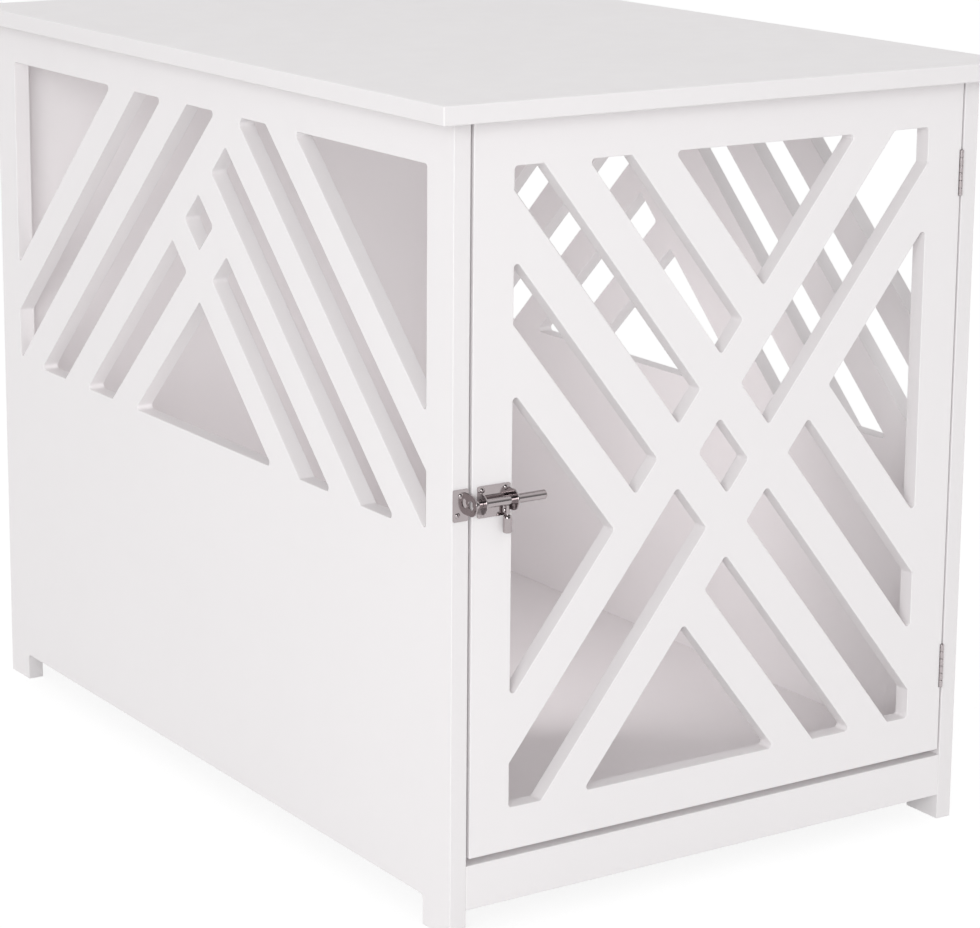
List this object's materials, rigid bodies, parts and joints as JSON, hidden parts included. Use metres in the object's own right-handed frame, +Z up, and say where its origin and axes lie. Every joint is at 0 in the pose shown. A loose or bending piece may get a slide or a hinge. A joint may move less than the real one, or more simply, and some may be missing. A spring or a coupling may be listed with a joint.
{
  "type": "dog crate end table",
  "caption": "Indoor pet crate that doubles as an end table: painted boards with crossed lattice bars in the sides and in a hinged front door that a barrel bolt holds shut.",
  "frame": {"origin": "on the floor under the middle of the table top", "axes": "+Z up, +X to the right as seen from the front, the door faces -Y"},
  "size_m": [0.5634, 0.829, 0.66],
  "materials": {
    "white_paint": "satin white paint on fibreboard",
    "hinge_steel": "plain nickel-plated steel",
    "bolt_chrome": "polished chrome plating",
    "fixing_zinc": "dull zinc",
    "dowel_wood": "bare beech"
  },
  "bodies": {
    "cabinet": {"top_panel": "white_paint", "left_side_panel": "white_paint", "right_side_panel": "white_paint", "back_panel": "white_paint", "floor_panel": "white_paint", "front_bottom_rail": "white_paint", "upper_hinge_frame_leaf": "hinge_steel", "upper_hinge_pin": "hinge_steel", "lower_hinge_frame_leaf": "hinge_steel", "lower_hinge_pin": "hinge_steel", "hinge_frame_screws": "hinge_steel", "bolt_keeper": "bolt_chrome", "keeper_screws": "bolt_chrome", "cam_locks": "fixing_zinc", "cam_bolts": "fixing_zinc", "wood_dowels": "dowel_wood"},
    "door": {"door_panel": "white_paint", "upper_hinge_door_leaf": "hinge_steel", "lower_hinge_door_leaf": "hinge_steel", "hinge_door_screws": "hinge_steel", "bolt_plate": "bolt_chrome", "bolt_plate_screws": "bolt_chrome"},
    "rod": {"bolt_rod": "bolt_chrome"},
    "handle": {"bolt_handle": "bolt_chrome"}
  },
  "joints": [
    {"name": "door_swing", "type": "hinge", "parent": "cabinet", "child": "door", "pos_m": [0.24125, -0.3923, 0.35325], "axis": [0, 0, 1], "range_deg": [0, 180]},
    {"name": "bolt_slide", "type": "slide", "parent": "door", "child": "rod", "axis": [-1, 0, 0], "range_m": [-0.0025, 0.021]},
    {"name": "handle_turn", "type": "hinge", "parent": "rod", "child": "handle", "pos_m": [-0.21135, -0.3975, 0.3508], "axis": [-1, 0, 0], "range_deg": [0, 180]}
  ]
}
